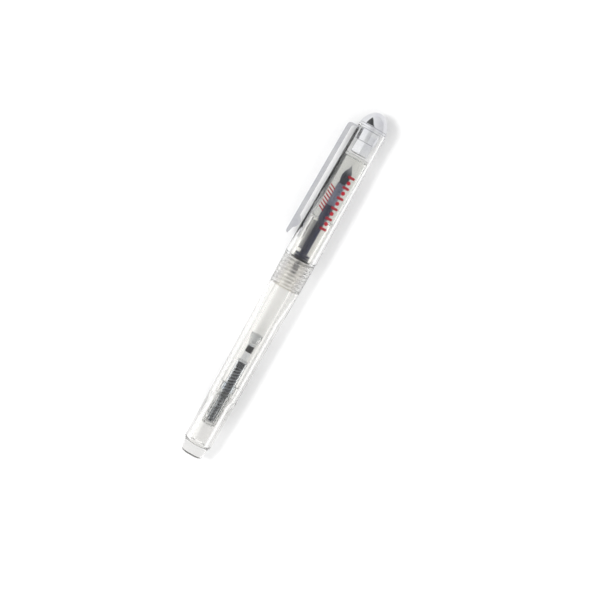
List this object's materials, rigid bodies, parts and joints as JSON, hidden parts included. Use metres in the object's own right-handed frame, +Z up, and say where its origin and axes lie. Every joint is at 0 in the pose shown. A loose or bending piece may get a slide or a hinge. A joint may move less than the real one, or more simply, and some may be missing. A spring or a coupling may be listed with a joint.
{
  "type": "brush pen",
  "caption": "Clear-bodied brush pen with pull-off clip cap, frosted inner cap, brush tuft on a finned feed, screw barrel and piston converter.",
  "frame": {"origin": "centre of the flat face at the barrel's end", "axes": "+X along the pen towards the domed finial, +Y towards the pocket clip, +Z up as the pen lies"},
  "size_m": [0.1369, 0.0153, 0.012],
  "materials": {
    "clear_plastic": "water-clear, polished",
    "frosted_plastic": "milky, frosted",
    "chrome": "bright plated",
    "black_plastic": "moulded, satin",
    "navy_plastic": "ink-stained, satin",
    "slate_plastic": "satin",
    "bristle": "fine nylon hair, ink-stained",
    "wick_fibre": "bonded fibre",
    "smoky_plastic": "clear with a slight haze",
    "pale_plastic": "translucent",
    "milky_plastic": "translucent, soft"
  },
  "bodies": {
    "grip_unit": {"grip_section": "clear_plastic", "converter_nipple": "black_plastic", "ink_feed": "navy_plastic", "brush_ferrule": "slate_plastic", "brush_tuft": "bristle", "ink_wick": "wick_fibre", "converter_tube": "clear_plastic", "guide_bush": "pale_plastic"},
    "cap": {"cap_tube": "clear_plastic", "inner_cap": "frosted_plastic", "finial_dome": "chrome", "finial_bushing": "chrome", "finial_nut": "chrome"},
    "clip_arm": {"clip": "chrome"},
    "ring": {"trim_ring": "clear_plastic"},
    "barrel": {"barrel_tube": "clear_plastic", "barrel_end_plug": "clear_plastic"},
    "knob": {"converter_knob": "smoky_plastic", "spindle": "navy_plastic"},
    "piston": {"piston_carrier": "pale_plastic", "ribbed_bush": "black_plastic", "piston_washer": "black_plastic", "piston_cup": "milky_plastic"}
  },
  "joints": [
    {"name": "cap_pull", "type": "slide", "parent": "grip_unit", "child": "cap", "axis": [1, 0, 0], "range_m": [0, 0.05]},
    {"name": "clip_flex", "type": "hinge", "parent": "cap", "child": "clip_arm", "pos_m": [0.1292, 0.0049, 0], "axis": [0, 0, -1], "range_deg": [0, 3.5], "stiffness_Nm_per_rad": 2},
    {"name": "barrel_turn", "type": "hinge", "parent": "grip_unit", "child": "ring", "pos_m": [0, 0, 0], "axis": [-1, 0, 0], "range_deg": [0, 2880]},
    {"name": "barrel_draw", "type": "slide", "parent": "ring", "child": "barrel", "axis": [-1, 0, 0], "range_m": [0, 0.01016]},
    {"name": "knob_turn", "type": "hinge", "parent": "grip_unit", "child": "knob", "pos_m": [0, 0, 0], "axis": [-1, 0, 0], "range_deg": [0, 1800]},
    {"name": "piston_slide", "type": "slide", "parent": "grip_unit", "child": "piston", "axis": [1, 0, 0], "range_m": [0, 0.012]}
  ],
  "couplings": [
    {"joint": "barrel_turn", "follows": "barrel_draw", "rad_per_m": 4947.4},
    {"joint": "knob_turn", "follows": "piston_slide", "rad_per_m": 2618}
  ]
}
